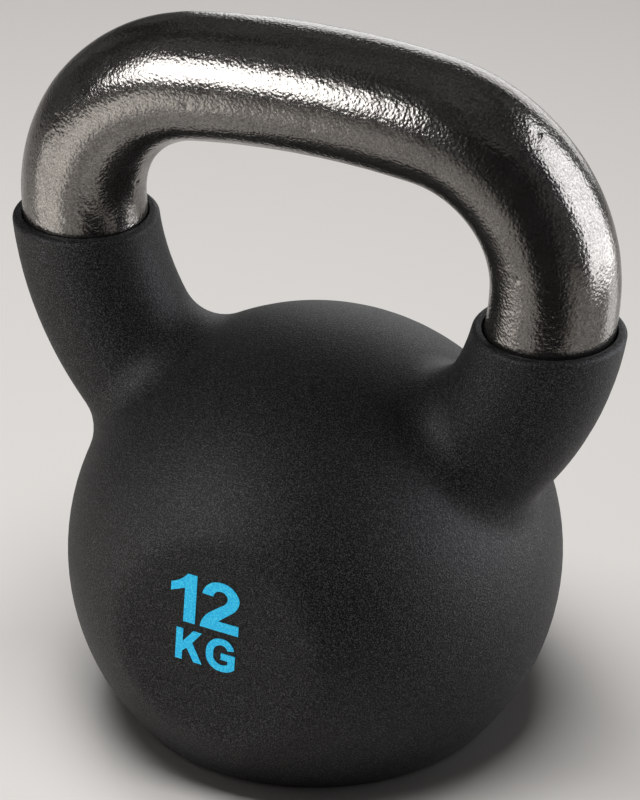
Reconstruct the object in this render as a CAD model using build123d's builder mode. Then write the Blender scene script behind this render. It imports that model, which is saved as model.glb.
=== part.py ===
from build123d import *
import os
from math import sqrt

# A 12 kg kettlebell: one solid iron casting, a moulded neoprene coat and a printed weight.
# The floor is z = 0, the handle's bar runs along X and the print faces -Y.

# Driving dimensions, in mm
ball_radius = 73.0  # over the coat
ball_centre_height = 48.4  # above the flat base
coat_thickness = 3.1
grip_radius = 18.2
bar_height = 196.2  # centre line of the bar, at its crown
ink_thickness = 0.2

# The handle's centre line: three arcs a side, each tangent to the last, then a straight root
crown_radius = 255.0
crown_turn = 8.0
corner_radius = 43.5
corner_turn = 82.9
leg_radius = 85.0
leg_turn = 36.1
root_length = 38.0

# The flat faces on the front and the back of the ball lean back a little
face_distance = 66.0  # from the ball's centre
face_lean = 3.5

# Rounded edges, measured on the outside of the coat
base_edge_radius = 4.7
face_edge_radius = 15.0
horn_blend_radius = 13.0

# Each collar of the coat is trimmed level, the left one a little higher than the right one
left_collar_height = 144.6
right_collar_height = 137.4
lip_radius = 1.5
groove_depth = 5.0  # the coat stands off the iron just inside the lip
left_groove_gap = 0.4
right_groove_gap = 0.6
right_groove_shift = 0.3  # the right collar stands off more at its front

# The print on the front face
print_turn = -3.0
print_shift = -4.6  # from the middle of the face, along X
number_base = 5.3  # above the middle of the face
unit_base = -7.1
unit_shift = 0.9

collar_radius = grip_radius + coat_thickness
overall_height = bar_height + grip_radius


# ---- The handle's centre line, from the root of one horn over the bar to the other ----

with BuildLine(Plane.XZ) as half_line:
    crown = JernArc((0, bar_height), (1, 0), crown_radius, -crown_turn)
    corner = JernArc(crown @ 1, crown % 1, corner_radius, -corner_turn)
    leg = JernArc(corner @ 1, corner % 1, leg_radius, -leg_turn)
    root = Line(leg @ 1, (leg @ 1) + root_length * (leg % 1))

with BuildLine() as handle_line:
    add(half_line.line)
    mirror(about=Plane.YZ)

handle_path = handle_line.wires()[0]
root_plane = Plane(origin=handle_path @ 0, x_dir=(0, 1, 0), z_dir=handle_path % 0)


def face_plane(side, inset):
    """The flat face of the ball on one side (-1 front, 1 back), moved inwards by inset."""
    upright = Plane(origin=(0, 0, ball_centre_height), x_dir=(-side, 0, 0), z_dir=(0, side, 0))
    return upright.rotated((side * face_lean, 0, 0)).offset(face_distance - inset)


def kettlebell_shape(inset):
    """The whole outer shape of ball, horns and handle, with every surface moved in by inset."""
    with BuildPart() as shape:
        with Locations((0, 0, ball_centre_height)):
            Sphere(ball_radius - inset)
        split(bisect_by=Plane.XY.offset(inset), keep=Keep.TOP)
        fillet(shape.faces().sort_by(Axis.Z)[0].edges(), base_edge_radius - inset)
        for side in (-1, 1):
            split(bisect_by=face_plane(side, inset), keep=Keep.BOTTOM)
            flat = shape.faces().filter_by(GeomType.PLANE).sort_by(Axis.Y)[-1 if side > 0 else 0]
            fillet(flat.edges(), face_edge_radius - inset)
        with BuildSketch(root_plane):
            Circle(collar_radius - inset)
        sweep(path=handle_path)
        above_faces = ball_centre_height + ball_radius / 4
        seams = shape.edges().filter_by(GeomType.BSPLINE)
        fillet(seams.filter_by_position(Axis.Z, above_faces, overall_height), horn_blend_radius + inset)
    return shape.part


# ---- The iron: ball, horns and handle in one casting ----

with BuildPart() as iron_casting:
    add(kettlebell_shape(coat_thickness))
iron_casting.part.label = "iron_casting"


# ---- The coat: a skin on the ball, under the base and up both horns to the collars ----


def horn_plane(side, height):
    """The plane across one horn (-1 left, 1 right) at a height on its leg arc, facing upwards."""
    drop = leg.center_point.Z - height
    run = sqrt(leg_radius**2 - drop**2)
    return Plane(
        origin=(side * (leg.center_point.X + run), 0, height),
        x_dir=(side * run, 0, -drop),
        z_dir=(side * drop, 0, run),
    )


with BuildPart() as neoprene_coat:
    add(kettlebell_shape(0))
    for side, height in ((-1, left_collar_height), (1, right_collar_height)):
        with BuildSketch(Plane.XY.offset(height)):
            with Locations((side * overall_height / 2, 0)):
                Rectangle(overall_height, overall_height)
        extrude(amount=overall_height, mode=Mode.SUBTRACT)
        lip = neoprene_coat.faces().filter_by_position(Axis.Z, height - 0.01, height + 0.01)
        fillet(lip.edges(), lip_radius)
    add(iron_casting.part, mode=Mode.SUBTRACT)
    for side, height, gap, shift in (
        (-1, left_collar_height, left_groove_gap, 0),
        (1, right_collar_height, right_groove_gap, right_groove_shift),
    ):
        with BuildSketch(horn_plane(side, height)):
            with Locations((0, -side * shift)):
                Circle(grip_radius + gap)
        extrude(amount=groove_depth, both=True, mode=Mode.SUBTRACT)
neoprene_coat.part.label = "neoprene_coat"


# ---- The print: the weight and its unit, as thin films of ink on the front face ----


def print_plane(shift, base):
    """The plane of one line of print, with its origin on that line's foot."""
    face = face_plane(-1, 0)
    along = face.x_dir.rotate(Axis((0, 0, 0), face.z_dir), print_turn)
    turned = Plane(face.origin, x_dir=along, z_dir=face.z_dir)
    return Plane(turned.from_local_coords((shift, base, 0)), x_dir=along, z_dir=face.z_dir)


with BuildPart() as weight_number:
    with BuildSketch(print_plane(print_shift, number_base)):
        with BuildLine():
            foot = Polyline((-10.7, 8.9), (-6.4, 10.8), (-6.4, 0), (-2.8, 0), (-2.8, 15.5), (-5.8, 15.5))
            ThreePointArc(foot @ 1, (-7.7, 13.3), (-10.7, 11.7))
            Line((-10.7, 11.7), foot @ 0)
        make_face()
        with BuildLine():
            ThreePointArc((-1.0, 10.8), (0.9, 14.2), (4.4, 15.5))
            ThreePointArc((4.4, 15.5), (8.8, 14.1), (10.5, 11.2))
            ThreePointArc((10.5, 11.2), (9.9, 8.7), (8.3, 6.7))
            Polyline((8.3, 6.7), (4.3, 3.1), (10.7, 3.1), (10.7, 0), (-1.2, 0))
            ThreePointArc((-1.2, 0), (-0.3, 3.0), (1.8, 5.5))
            Line((1.8, 5.5), (5.1, 8.2))
            ThreePointArc((5.1, 8.2), (6.5, 9.6), (6.9, 11.1))
            ThreePointArc((6.9, 11.1), (4.7, 12.8), (2.4, 10.6))
            Line((2.4, 10.6), (-1.0, 10.8))
        make_face()
    extrude(amount=ink_thickness)
weight_number.part.label = "weight_number"

with BuildPart() as weight_unit:
    with BuildSketch(print_plane(print_shift + unit_shift, unit_base)):
        with BuildLine():
            Polyline(
                (-9.2, 0), (-9.2, 10), (-7.1, 10), (-7.1, 5.9), (-4.0, 10), (-1.3, 10),
                (-4.1, 6.1), (-0.8, 0), (-3.4, 0), (-5.8, 4.1), (-7.1, 2.8), (-7.1, 0), (-9.2, 0),
            )
        make_face()
        with BuildLine():
            ThreePointArc((8.9, 7.3), (7.6, 9.4), (5.0, 10.2))
            ThreePointArc((5.0, 10.2), (1.6, 8.7), (0.3, 4.9))
            ThreePointArc((0.3, 4.9), (1.6, 1.1), (5.2, -0.3))
            ThreePointArc((5.2, -0.3), (7.5, 0.1), (9.3, 1.3))
            Polyline((9.3, 1.3), (9.3, 5.6), (4.9, 5.6), (4.9, 3.5), (7.1, 3.5), (7.1, 2.4))
            ThreePointArc((7.1, 2.4), (6.1, 1.9), (5.1, 1.8))
            ThreePointArc((5.1, 1.8), (3.2, 2.7), (2.6, 5.0))
            ThreePointArc((2.6, 5.0), (3.2, 7.3), (5.2, 8.2))
            ThreePointArc((5.2, 8.2), (6.2, 7.8), (6.9, 6.8))
            Line((6.9, 6.8), (8.9, 7.3))
        make_face()
    extrude(amount=ink_thickness)
weight_unit.part.label = "weight_unit"


# ---- Export ----

os.makedirs("parts", exist_ok=True)
for node in (iron_casting, neoprene_coat, weight_number, weight_unit):
    export_step(node.part, f"parts/{node.part.label}.step")
    print(node.part.label, round(node.part.volume), "mm3", node.part.bounding_box())
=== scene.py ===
# %% [markdown]
# # A coated kettlebell
# A 12 kg kettlebell is one iron casting: a ball with a flat base, two horns and a bar
# between them. A neoprene coat covers the ball and the horns and leaves the bar bare. The
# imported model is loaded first. Nothing in it is moved, and none of its meshes is changed.

import math

import bmesh
import bpy
from mathutils import Matrix, Vector, noise


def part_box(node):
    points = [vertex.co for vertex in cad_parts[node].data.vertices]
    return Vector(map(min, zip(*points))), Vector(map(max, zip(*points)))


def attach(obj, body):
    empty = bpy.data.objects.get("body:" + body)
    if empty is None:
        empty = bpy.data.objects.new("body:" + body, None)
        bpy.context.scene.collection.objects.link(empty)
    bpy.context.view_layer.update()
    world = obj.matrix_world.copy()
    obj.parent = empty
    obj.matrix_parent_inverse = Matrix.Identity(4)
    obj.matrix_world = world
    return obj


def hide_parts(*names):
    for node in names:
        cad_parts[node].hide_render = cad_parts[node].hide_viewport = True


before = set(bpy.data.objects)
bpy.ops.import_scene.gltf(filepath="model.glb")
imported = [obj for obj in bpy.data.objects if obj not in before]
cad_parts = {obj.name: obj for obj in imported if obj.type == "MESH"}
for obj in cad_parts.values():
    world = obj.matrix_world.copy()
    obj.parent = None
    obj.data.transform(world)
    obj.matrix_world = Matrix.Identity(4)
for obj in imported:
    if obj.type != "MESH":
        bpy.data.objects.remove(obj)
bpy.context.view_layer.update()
casting_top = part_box("iron_casting")[1].z

# %% [markdown]
# ## From a bmesh to an object
# Every new mesh is built in a bmesh and then wrapped in an object. The object stays at the
# origin, so that its place is in its vertices, as it is for the nodes that came from CAD.

# %% A helper for finished meshes
MM = 0.001


def finish_mesh(bm, name, smooth=True):
    """Writes a bmesh out as an object at the origin, with smooth shading if asked."""
    mesh = bpy.data.meshes.new(name)
    bm.to_mesh(mesh)
    bm.free()
    for polygon in mesh.polygons:
        polygon.use_smooth = smooth
    piece = bpy.data.objects.new(name, mesh)
    bpy.context.scene.collection.objects.link(piece)
    print(name, len(mesh.vertices), "vertices", len(mesh.polygons), "faces")
    return piece


# %% [markdown]
# ## The handle's centre line
# The bar is gently crowned, turns down in two tight corners and runs into the horns. Three
# arcs a side, each tangent to the last, make that line. A Bezier curve could be bent to it
# by eye, but arcs with the casting's own sizes give exactly the line of the CAD model.

# %% The three arcs
GRIP_RADIUS = 18.2 * MM
BAR_HEIGHT = casting_top - GRIP_RADIUS
CROWN_RADIUS = 255.0 * MM
CROWN_TURN = math.radians(8.0)
CORNER_RADIUS = 43.5 * MM
CORNER_TURN = math.radians(82.9)
LEG_RADIUS = 85.0 * MM
LEG_TURN = math.radians(15.0)
ARCS = ((CROWN_RADIUS, CROWN_TURN), (CORNER_RADIUS, CORNER_TURN), (LEG_RADIUS, LEG_TURN))


def outward(heading):
    """From an arc's centre towards its line, where the line points heading below level."""
    return Vector((math.sin(heading), 0, math.cos(heading)))


def arc_centres():
    """The centre, the radius, and the heading at the start, of each arc on the right."""
    centre = Vector((0, 0, BAR_HEIGHT))
    last_radius = 0.0
    heading = 0.0
    found = []
    for radius, turn in ARCS:
        centre = centre + outward(heading) * (last_radius - radius)
        found.append((centre.copy(), radius, heading))
        last_radius = radius
        heading += turn
    return found


leg_centre, _, leg_start = arc_centres()[-1]
grip_end = leg_start + LEG_TURN
print("grip ends at", leg_centre + outward(grip_end) * LEG_RADIUS)

# %% [markdown]
# ## The bare grip
# The enamelled bar is where a hand and the light find every dent, so it is made finer than
# the rest of the casting. A sweep along a curve would do too, but spinning a circle of
# vertices through the three arcs gives an even net. The other half is its mirror.

# %% Spin the grip
RING_POINTS = 180
RING_STEP = 0.64 * MM
MIRROR_MERGE = 0.01 * MM
SEAM_MERGE = 0.02 * MM
grip = bmesh.new()
across = Matrix.Translation((0, 0, BAR_HEIGHT)) @ Matrix.Rotation(math.pi / 2, 4, "Y")
bmesh.ops.create_circle(grip, segments=RING_POINTS, radius=GRIP_RADIUS, matrix=across)
ring = list(grip.edges)
for (centre, radius, _), (_, turn) in zip(arc_centres(), ARCS):
    spun = bmesh.ops.spin(
        grip, geom=ring, cent=centre, axis=(0, 1, 0), dvec=(0, 0, 0), angle=turn,
        steps=round(radius * turn / RING_STEP), use_merge=False, use_duplicate=False,
    )
    ring = [item for item in spun["geom_last"] if isinstance(item, bmesh.types.BMEdge)]
whole = list(grip.verts) + list(grip.edges) + list(grip.faces)
bmesh.ops.mirror(grip, geom=whole, axis="X", merge_dist=MIRROR_MERGE)
bmesh.ops.remove_doubles(grip, verts=grip.verts, dist=SEAM_MERGE)
print("grip faces", len(grip.faces), "open edges", sum(e.is_boundary for e in grip.edges))

# %% [markdown]
# ## The casting under the coat
# The ball and the roots of the horns are hidden, so they keep the shape they have in CAD. A
# copy of that mesh is merged, its handle is cut off inside both collars, and the fine grip
# is bridged on to the two cut rings, which makes one closed casting again. The faces near
# a cut share edges and vertices: a dict drops the repeats and keeps the order, which a set
# doesn't.

# %% Cut the handle off the copy
BRIDGE_GAP = 1.0 * MM
TOLERANCE = 0.001 * MM
casting = bmesh.new()
casting.from_mesh(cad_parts["iron_casting"].data)
bmesh.ops.remove_doubles(casting, verts=casting.verts, dist=TOLERANCE)
cut_turn = grip_end + BRIDGE_GAP / LEG_RADIUS
cut_point = leg_centre + outward(cut_turn) * LEG_RADIUS
uphill = Vector((-math.cos(cut_turn), 0, math.sin(cut_turn)))
for side in (1, -1):
    near = [f for f in casting.faces
            if side * f.calc_center_median().x > -BRIDGE_GAP
            and f.calc_center_median().z > cut_point.z - GRIP_RADIUS]
    edges = dict.fromkeys(e for f in near for e in f.edges)
    verts = dict.fromkeys(v for f in near for v in f.verts)
    bmesh.ops.bisect_plane(
        casting, geom=near + list(edges) + list(verts), dist=TOLERANCE,
        plane_co=(side * cut_point.x, 0, cut_point.z),
        plane_no=(side * uphill.x, 0, uphill.z), clear_outer=True,
    )
cut_edges = sum(e.is_boundary for e in casting.edges)
print("hidden faces", len(casting.faces), "cut edges", cut_edges)

# %% Bridge the grip on to it
grip_mesh = bpy.data.meshes.new("grip")
grip.to_mesh(grip_mesh)
grip.free()
casting.from_mesh(grip_mesh)
bpy.data.meshes.remove(grip_mesh)
for side in (1, -1):
    rings = [e for e in casting.edges if e.is_boundary and side * e.verts[0].co.x > 0]
    bmesh.ops.bridge_loops(casting, edges=rings)
bmesh.ops.recalc_face_normals(casting, faces=casting.faces)
print("open edges left", sum(not e.is_manifold for e in casting.edges))

# %% [markdown]
# ## Cast dents under the enamel
# Sand casting leaves a bar that is never quite round: it has broad swells, shallow dents as
# wide as a fingertip, fine ripples, and a few pin holes where gas got out. Enamel fills only
# the finest of it. A bump texture could fake all of that, but real dents bend the highlights
# and the outline too. They only go inwards, because the CAD size is the size over the top.

# %% How deep a dent is
DENTS = (
    # size, depth, and a shift of the pattern that keeps the three from lining up
    (16.0 * MM, 0.16 * MM, Vector((0, 0, 0))),
    (5.5 * MM, 0.075 * MM, Vector((7, 0, 0))),
    (2.3 * MM, 0.022 * MM, Vector((0, 9, 0))),
)


def dent_depth(point):
    """How far the surface lies inside the nominal bar at a point, in metres."""
    return sum(depth * (1 + noise.noise(point / size + shift)) / 2
               for size, depth, shift in DENTS)


print("deepest dents possible", round(sum(depth for _, depth, _ in DENTS) / MM, 3), "mm")

# %% Where the pin holes are
PIN_HOLES = (
    # mm along the bar from its middle, degrees round it from top to front, width, depth
    (59.4, 14, 2.4, 0.38), (57.4, 6, 1.5, 0.22), (87.7, 102, 1.8, 0.32),
    (-30.4, 93, 1.6, 0.28), (7.8, 99, 1.5, 0.24), (40.7, 98, 1.5, 0.20),
    (-71.0, 61, 1.7, 0.25), (22.0, 205, 1.8, 0.30), (-48.0, 251, 1.6, 0.25),
    (79.0, 232, 2.0, 0.32), (-12.0, 322, 1.6, 0.22), (-84.0, 170, 1.7, 0.28),
)


def grip_point(along, turn):
    """The point on the bar's skin that far along it, and turned that far from its top."""
    left_over = abs(along)
    for (centre, radius, heading), (_, arc_turn) in zip(arc_centres(), ARCS):
        if left_over <= radius * arc_turn:
            break
        left_over -= radius * arc_turn
    out = outward(heading + left_over / radius) * (radius + GRIP_RADIUS * math.cos(turn))
    point = centre + out - Vector((0, GRIP_RADIUS * math.sin(turn), 0))
    return Vector((math.copysign(point.x, along), point.y, point.z))


holes = [(grip_point(along * MM, math.radians(turn)), width * MM / 2, depth * MM)
         for along, turn, width, depth in PIN_HOLES]
print("pin holes", len(holes))


def hole_depth(point):
    """How deep the pin holes are at a point, in metres."""
    return sum(depth * math.exp(-(point - middle).length_squared / radius**2)
               for middle, radius, depth in holes)


# %% [markdown]
# The dents fade out just above the cut, so that the grip still meets the casting's own skin
# inside the collars. All the depths are worked out before any vertex moves.

# %% Dent the grip
FADE = 4.0 * MM
casting.normal_update()
moves = []
for vert in casting.verts:
    rise = vert.co.z - cut_point.z
    if rise > 0:
        depth = dent_depth(vert.co) * min(1.0, rise / FADE) + hole_depth(vert.co)
        moves.append((vert, -vert.normal * depth))
for vert, move in moves:
    vert.co += move
deepest = max(move.length for _, move in moves)
print("dented vertices", len(moves), "deepest", round(deepest / MM, 2), "mm")
iron = finish_mesh(casting, "kettlebell_casting")
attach(iron, "root")
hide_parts("iron_casting")

# %% [markdown]
# ## Shader maths as Python
# A finish is a small web of nodes. Wrapping a socket in a class lets the web be written as
# sums: `grain * 0.5 + sand` adds the Math nodes by itself.

# %% Wire
class Wire:
    """One output socket. Arithmetic on it adds Math nodes."""

    def __init__(self, web, socket):
        self.web = web
        self.socket = socket

    def out(self, name):
        """Another output of the same node."""
        return Wire(self.web, self.socket.node.outputs[name])

    def __add__(self, other):
        return self.web.maths("ADD", self, other)

    def __radd__(self, other):
        return self.web.maths("ADD", other, self)

    def __sub__(self, other):
        return self.web.maths("SUBTRACT", self, other)

    def __rsub__(self, other):
        return self.web.maths("SUBTRACT", other, self)

    def __mul__(self, other):
        return self.web.maths("MULTIPLY", self, other)

    def __rmul__(self, other):
        return self.web.maths("MULTIPLY", other, self)

    def between(self, low, high):
        """0 below low, 1 above high and a smooth step in the middle."""
        return self.web.node(
            "ShaderNodeMapRange",
            {"interpolation_type": "SMOOTHSTEP"},
            {"Value": self, "From Min": low, "From Max": high},
        )


# %% [markdown]
# One method adds every kind of node. It sets the node's own settings first, because they
# decide which of its sockets are in use, and then a value or a link for each socket.

# %% Web
class Web:
    """A node tree, and the ways to add to it."""

    def __init__(self, tree):
        self.tree = tree

    def node(self, kind, settings=None, sockets=None):
        """Adds a node, and gives its first output. A socket goes by its name or its number."""
        made = self.tree.nodes.new(kind)
        for name, value in (settings or {}).items():
            setattr(made, name, value)
        for name, value in (sockets or {}).items():
            in_use = [s for s in made.inputs if s.enabled and s.name == name]
            self.plug(in_use[0] if in_use else made.inputs[name], value)
        return Wire(self, next(o for o in made.outputs if o.enabled))

    def plug(self, socket, value):
        """Links a wire to a socket, or sets the socket to a plain value."""
        if isinstance(value, Wire):
            self.tree.links.new(value.socket, socket)
        else:
            socket.default_value = value

    def maths(self, operation, *values):
        """A Math node on wires and plain numbers."""
        return self.node("ShaderNodeMath", {"operation": operation}, dict(enumerate(values)))

    def noise(self, place, size, detail=2.0, rough=0.5):
        """Smooth noise from 0 to 1 with features about size metres wide."""
        sockets = {"Vector": place, "Scale": 1 / size, "Detail": detail, "Roughness": rough}
        return self.node("ShaderNodeTexNoise", {"noise_dimensions": "3D"}, sockets)

    def cells(self, place, size):
        """Distance to the nearest of many scattered points, about size metres apart."""
        sockets = {"Vector": place, "Scale": 1 / size}
        return self.node("ShaderNodeTexVoronoi", {"feature": "SMOOTH_F1"}, sockets)

    def blend(self, amount, first, second):
        """A colour between two colours."""
        sockets = {"Factor": amount, "A": first, "B": second}
        return self.node("ShaderNodeMix", {"data_type": "RGBA"}, sockets)


# %% Finish
class Finish(Web):
    """A material with one Principled shader, and the web that feeds it."""

    def __init__(self, name):
        self.material = bpy.data.materials.new(name)
        self.material.use_nodes = True
        super().__init__(self.material.node_tree)

    def place(self):
        """Where a point is on the piece, in metres."""
        return self.node("ShaderNodeTexCoord").out("Object")

    def bump(self, height_mm):
        """A normal from a height in millimetres."""
        sockets = {"Height": height_mm, "Distance": MM, "Strength": 1.0}
        return self.node("ShaderNodeBump", sockets=sockets)

    def shade(self, **sockets):
        """Feeds the shader's sockets, named with _ for a space, and gives the material."""
        shader = self.tree.nodes["Principled BSDF"]
        for name, value in sockets.items():
            self.plug(shader.inputs[name.replace("_", " ")], value)
        print(self.material.name, len(self.tree.nodes), "nodes")
        return self.material


# %% [markdown]
# ## Glossy enamel on cast iron
# The grip is dipped in a dark, slightly metallic enamel. It is smooth enough to mirror the
# lamps, but the iron's grain shows through, so a highlight breaks up at its edges. A picture
# of enamel would carry highlights of its own. Noise at several sizes gives a grain that is
# right in any light. Each height is how far that grain stands up, in millimetres.

# %% Enamel
ENAMEL_DARK = (0.11, 0.103, 0.097, 1)
ENAMEL_PALE = (0.31, 0.295, 0.28, 1)
MOTTLE_AND_PAINTED_SHADE_RANGE = (0.48, 1.32)
DENT_HEIGHT, GRAIN_HEIGHT, PEBBLE_HEIGHT, SAND_HEIGHT = 0.09, 0.05, 0.085, 0.03
GRAIN_SHARE, PATCH_SHARE = 0.5, 0.3
ENAMEL_ROUGHNESS, PATCH_ROUGHNESS = 0.135, 0.10
ENAMEL_METAL = 0.95


def enamel():
    """Dark enamel with a pebbled grain. Its colour is painted shade where the sand and grain
    sink, and random tone from broad patches.
    """
    finish = Finish("dark_enamel")
    place = finish.place()
    dents = finish.noise(place, size=2.6 * MM, detail=1.0, rough=0.4)
    grain = finish.noise(place, size=0.9 * MM, detail=2.0, rough=0.5)
    pebbles = finish.cells(place, size=0.85 * MM)
    sand = finish.noise(place, size=0.5 * MM, detail=1.0)
    patches = finish.noise(place, size=7.0 * MM, detail=3.0)
    coarse = dents * DENT_HEIGHT + grain * GRAIN_HEIGHT
    height = coarse - pebbles * PEBBLE_HEIGHT + sand * SAND_HEIGHT
    # Painted shade and random tone: darker where the sand and grain noises sink, varied at
    # random by the patches.
    mottle_and_painted_shade = (sand + grain * GRAIN_SHARE + patches * PATCH_SHARE).between(*MOTTLE_AND_PAINTED_SHADE_RANGE)
    return finish.shade(
        Base_Color=finish.blend(mottle_and_painted_shade, ENAMEL_DARK, ENAMEL_PALE),
        Metallic=ENAMEL_METAL,
        Roughness=patches * PATCH_ROUGHNESS + ENAMEL_ROUGHNESS,
        Normal=finish.bump(height),
    )


iron.data.materials.append(enamel())

# %% [markdown]
# ## Neoprene
# The coat is soft rubber with a fine, suede-like skin. It is nearly black with pale flecks,
# it has no gloss, and a trace of sheen lifts it a little where it is seen edge on. The CAD
# coat has the right shape, so it stays and only gets this finish.

# %% Neoprene
NEOPRENE_BLACK = (0.0012, 0.0012, 0.0012, 1)
NEOPRENE_FLECK = (0.052, 0.052, 0.0527, 1)
FLECK_RANGE = (0.44, 0.72)
NEOPRENE_ROUGHNESS, FLECK_GLOSS = 0.56, 0.10
NEOPRENE_NAP = 0.16


def neoprene():
    """Black rubber with a fine nap, whose tips catch the light as flecks."""
    finish = Finish("black_neoprene")
    place = finish.place()
    nap = finish.noise(place, size=0.6 * MM, detail=2.0, rough=0.6)
    flecks = finish.noise(place, size=0.36 * MM, detail=1.0, rough=0.6).between(*FLECK_RANGE)
    return finish.shade(
        Base_Color=finish.blend(flecks, NEOPRENE_BLACK, NEOPRENE_FLECK),
        Roughness=NEOPRENE_ROUGHNESS - flecks * FLECK_GLOSS,
        Sheen_Weight=0.02,
        Sheen_Roughness=0.30,
        Specular_IOR_Level=0.24,
        Normal=finish.bump(nap * NEOPRENE_NAP),
    )


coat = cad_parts["neoprene_coat"]
coat.data.materials.clear()
coat.data.materials.append(neoprene())

# %% [markdown]
# ## Ink
# The weight is printed in bright blue ink. It could be a mask in the coat's own finish, but
# the CAD model has it as a thin film, whose edges are sharp from any distance. The ink sinks
# into the nap, which shows through as pale and dark specks.

# %% Ink
INK_DEEP = (0.006, 0.46, 0.88, 1)
INK_PALE = (0.06, 0.72, 1.0, 1)
SPECK_RANGE = (0.40, 0.66)
INK_NAP = 0.08


def ink():
    """Flat blue ink over a nap that still shows."""
    finish = Finish("print_ink")
    nap = finish.noise(finish.place(), size=0.45 * MM, detail=2.0, rough=0.65)
    return finish.shade(
        Base_Color=finish.blend(nap.between(*SPECK_RANGE), INK_DEEP, INK_PALE),
        Roughness=0.6,
        Specular_IOR_Level=0.35,
        Normal=finish.bump(nap * INK_NAP),
    )


blue = ink()
print_nodes = [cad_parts[name] for name in ("weight_number", "weight_unit")]
for print_node in print_nodes:
    print_node.data.materials.clear()
    print_node.data.materials.append(blue)

# %% [markdown]
# ## Floor
# The floor is a plain pale sheet. It also gives the lower half of the bar its warm grey,
# because the enamel mirrors it. Darker patches are painted on it that only mirrored light
# sees: a painted reflection, in place of stands and cables, which shows up the dents.

# %% Lay the floor
FLOOR_HALF = 3.0
FLOOR_PALE = (0.74, 0.715, 0.69, 1)
FLOOR_PAINTED_REFLECTION = (0.33, 0.305, 0.285, 1)
PAINTED_REFLECTION_SIZE = 0.07
PAINTED_REFLECTION_RANGE = (0.40, 0.66)
floor_bm = bmesh.new()
bmesh.ops.create_grid(floor_bm, x_segments=1, y_segments=1, size=FLOOR_HALF)
floor = finish_mesh(floor_bm, "floor", smooth=False)
paper = Finish("pale_paper")
mirrored = paper.node("ShaderNodeLightPath").out("Is Glossy Ray")
# Painted reflection: darker noise patches on the floor that only mirrored light sees.
painted_reflection_mask = paper.noise(paper.place(), PAINTED_REFLECTION_SIZE, detail=2.0).between(*PAINTED_REFLECTION_RANGE)
floor.data.materials.append(paper.shade(
    Base_Color=paper.blend(mirrored * painted_reflection_mask, FLOOR_PALE, FLOOR_PAINTED_REFLECTION),
    Roughness=0.9,
    Specular_IOR_Level=0.1,
))

# %% [markdown]
# ## Lights
# Two tall softboxes stand beside the kettlebell and draw the long highlights on the bar:
# one in front on the left and one behind on the right. Each has a weak small one near it,
# low down, for the legs. A wide one far behind draws the thin pale rim. Each is given by
# its glow, so a change of size doesn't change how bright it looks.

# %% Softboxes
def area_lamp(name, width, height, glow, colour=(1, 1, 1)):
    """A rectangle of light that the camera doesn't see."""
    lamp = bpy.data.lights.new(name, "AREA")
    lamp.shape = "RECTANGLE"
    lamp.size = width
    lamp.size_y = height
    lamp.energy = glow * math.pi * width * height
    lamp.color = colour
    holder = bpy.data.objects.new(name, lamp)
    bpy.context.scene.collection.objects.link(holder)
    holder.visible_camera = False
    print(name, round(lamp.energy, 3), "W")
    return holder


def softbox(name, azimuth, distance, low, high, width, glow, colour=(1, 1, 1)):
    """A lamp on end. Azimuth 0 is in front (-Y) and 90 is on the right (+X)."""
    holder = area_lamp(name, width, high - low, glow, colour)
    turn = math.radians(azimuth)
    away = Vector((math.sin(turn), -math.cos(turn), 0))
    holder.location = away * distance + Vector((0, 0, (low + high) / 2))
    holder.rotation_euler = (-away).to_track_quat("-Z", "Y").to_euler()
    return holder


WARM = (1.0, 0.97, 0.92)
COOL = (0.94, 0.96, 1.0)
softboxes = (
    softbox("front_left", azimuth=-34, distance=0.50, low=0.27, high=0.58, width=0.34, glow=7.5),
    softbox("front_left_low", azimuth=-52, distance=0.25, low=0.00, high=0.15, width=0.20,
            glow=1.2, colour=WARM),
    softbox("back_right", azimuth=112, distance=0.55, low=0.01, high=0.70, width=0.56,
            glow=4.0, colour=COOL),
    softbox("back_right_low", azimuth=125, distance=0.26, low=0.00, high=0.14, width=0.12,
            glow=1.2),
    softbox("far_back", azimuth=185, distance=0.90, low=0.05, high=0.60, width=0.80, glow=1.7),
)

# %% [markdown]
# Light linking says which objects a lamp lights. The softboxes light only the kettlebell,
# so that they leave no pools on the floor. The floor has a soft lamp of its own overhead,
# which lights nothing else and which the bar doesn't mirror, so it stays plain and pale.

# %% Link the lamps
OVERHEAD_SIZE = 0.7
OVERHEAD_PLACE = (-0.1, -0.05, 1.15)
OVERHEAD_GLOW = 9.0
overhead = area_lamp("overhead", OVERHEAD_SIZE, OVERHEAD_SIZE, OVERHEAD_GLOW)
overhead.location = OVERHEAD_PLACE
overhead.visible_glossy = False


def light_only(lamps, name, lit):
    """Makes the lamps light only the objects in lit."""
    group = bpy.data.collections.new(name)
    for thing in lit:
        group.objects.link(thing)
    for lamp in lamps:
        lamp.light_linking.receiver_collection = group
    print(name, "is lit by", [lamp.name for lamp in lamps])


light_only(softboxes, "kettlebell", (iron, coat, *print_nodes))
light_only((overhead,), "floor_only", (floor,))

# %% [markdown]
# A black card in front on the right is a studio flag. It keeps the pale floor out of the
# legs of the handle, which would look flat without their dark middle. Only the mirrored
# light sees it, and it thins out towards its two upright edges.

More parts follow.
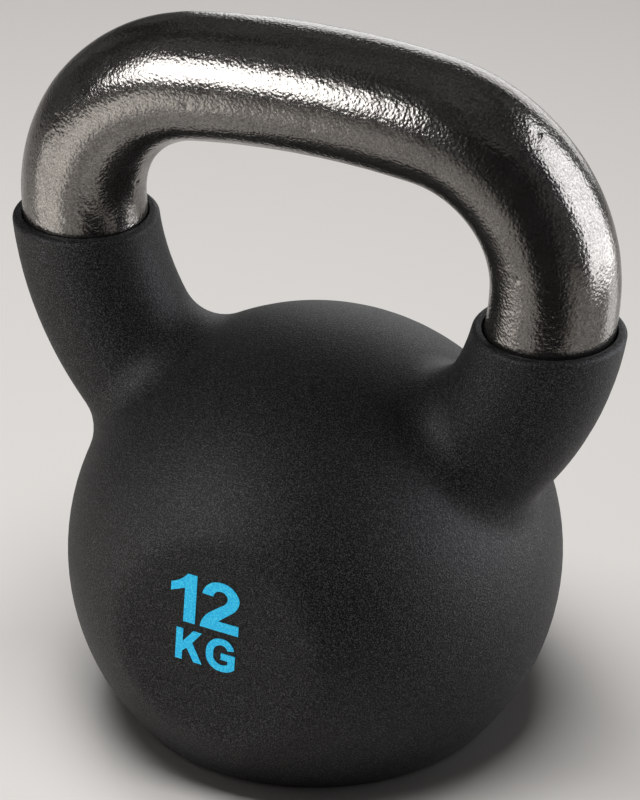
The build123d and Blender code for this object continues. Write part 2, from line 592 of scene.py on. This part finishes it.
# %% Black flag
FLAG_AZIMUTH = math.radians(32)
FLAG_DISTANCE = 0.22
FLAG_HALF = 0.17
FLAG_SOLID = 0.35 * FLAG_HALF
flag_bm = bmesh.new()
bmesh.ops.create_grid(flag_bm, x_segments=1, y_segments=1, size=FLAG_HALF)
upright = Matrix.Rotation(FLAG_AZIMUTH, 4, "Z") @ Matrix.Rotation(math.pi / 2, 4, "X")
flag_centre = Vector((math.sin(FLAG_AZIMUTH), -math.cos(FLAG_AZIMUTH), 0)) * FLAG_DISTANCE
flag_centre.z = FLAG_HALF
flag_stand = Matrix.Translation(flag_centre) @ upright
bmesh.ops.transform(flag_bm, matrix=flag_stand, verts=flag_bm.verts)
flag = finish_mesh(flag_bm, "black_flag", smooth=False)
felt = Finish("black_felt")
sideways = felt.node(
    "ShaderNodeVectorMath", {"operation": "DOT_PRODUCT"},
    {0: felt.place(), 1: (math.cos(FLAG_AZIMUTH), math.sin(FLAG_AZIMUTH), 0)},
)
flag.data.materials.append(felt.shade(
    Base_Color=(0.01, 0.01, 0.01, 1),
    Roughness=1.0,
    Specular_IOR_Level=0.0,
    Alpha=1 - felt.maths("ABSOLUTE", sideways).between(FLAG_SOLID, FLAG_HALF),
))
flag.visible_camera = False
flag.visible_diffuse = False
flag.visible_shadow = False

# %% [markdown]
# ## The rest of the studio
# The room round the lamps is dim and uneven, as a real one is: soft clouds of grey, which
# the enamel mirrors between the highlights.

# %% The dim room
ROOM_SCALE = 3.5
ROOM_RANGE = {"From Min": 0.38, "From Max": 0.66, "To Min": 0.005, "To Max": 0.15}
world = bpy.data.worlds.new("studio")
world.use_nodes = True
room = Web(world.node_tree)
direction = room.node("ShaderNodeTexCoord").out("Generated")
clouds = room.noise(direction, 1 / ROOM_SCALE)
backdrop = world.node_tree.nodes["Background"]
dimmed = room.node("ShaderNodeMapRange", sockets={"Value": clouds, **ROOM_RANGE})
room.plug(backdrop.inputs["Strength"], dimmed)
room.plug(backdrop.inputs["Color"], (1, 1, 1, 1))
bpy.context.scene.world = world
bpy.context.scene.view_settings.view_transform = "Standard"
print("room", len(world.node_tree.nodes), "nodes")

# %% [markdown]
# ## Camera
# A long lens looks down on the kettlebell from the front and a little from the right. It
# stands a metre away, so that the bar isn't swollen beside the ball behind it.

# %% Camera
BALL_RADIUS = 73.0 * MM
BALL_CENTRE = Vector((0, 0, 48.4 * MM))
CAMERA_AZIMUTH = math.radians(24.78)
CAMERA_ELEVATION = math.radians(31.63)
CAMERA_ROLL = math.radians(-0.30)
CAMERA_DISTANCE = 14.39 * BALL_RADIUS
AIM_RIGHT = 0.022 * BALL_RADIUS
AIM_UP = 0.595 * BALL_RADIUS
LENS = 159.84
SENSOR = 36.0

back = Vector((
    math.sin(CAMERA_AZIMUTH) * math.cos(CAMERA_ELEVATION),
    -math.cos(CAMERA_AZIMUTH) * math.cos(CAMERA_ELEVATION),
    math.sin(CAMERA_ELEVATION),
))
stand = BALL_CENTRE + back * CAMERA_DISTANCE
level = Vector((0, 0, 1)).cross(back).normalized()
aim = BALL_CENTRE + level * AIM_RIGHT + back.cross(level) * AIM_UP
lens = bpy.data.cameras.new("camera")
lens.lens = LENS
lens.sensor_width = SENSOR
lens.sensor_height = SENSOR
lens.sensor_fit = "VERTICAL"
camera = bpy.data.objects.new("camera", lens)
bpy.context.scene.collection.objects.link(camera)
look = (aim - stand).to_track_quat("-Z", "Y").to_matrix() @ Matrix.Rotation(CAMERA_ROLL, 3, "Z")
camera.matrix_world = Matrix.Translation(stand) @ look.to_4x4()
bpy.context.scene.camera = camera
print("camera at", stand, "aims at", aim)
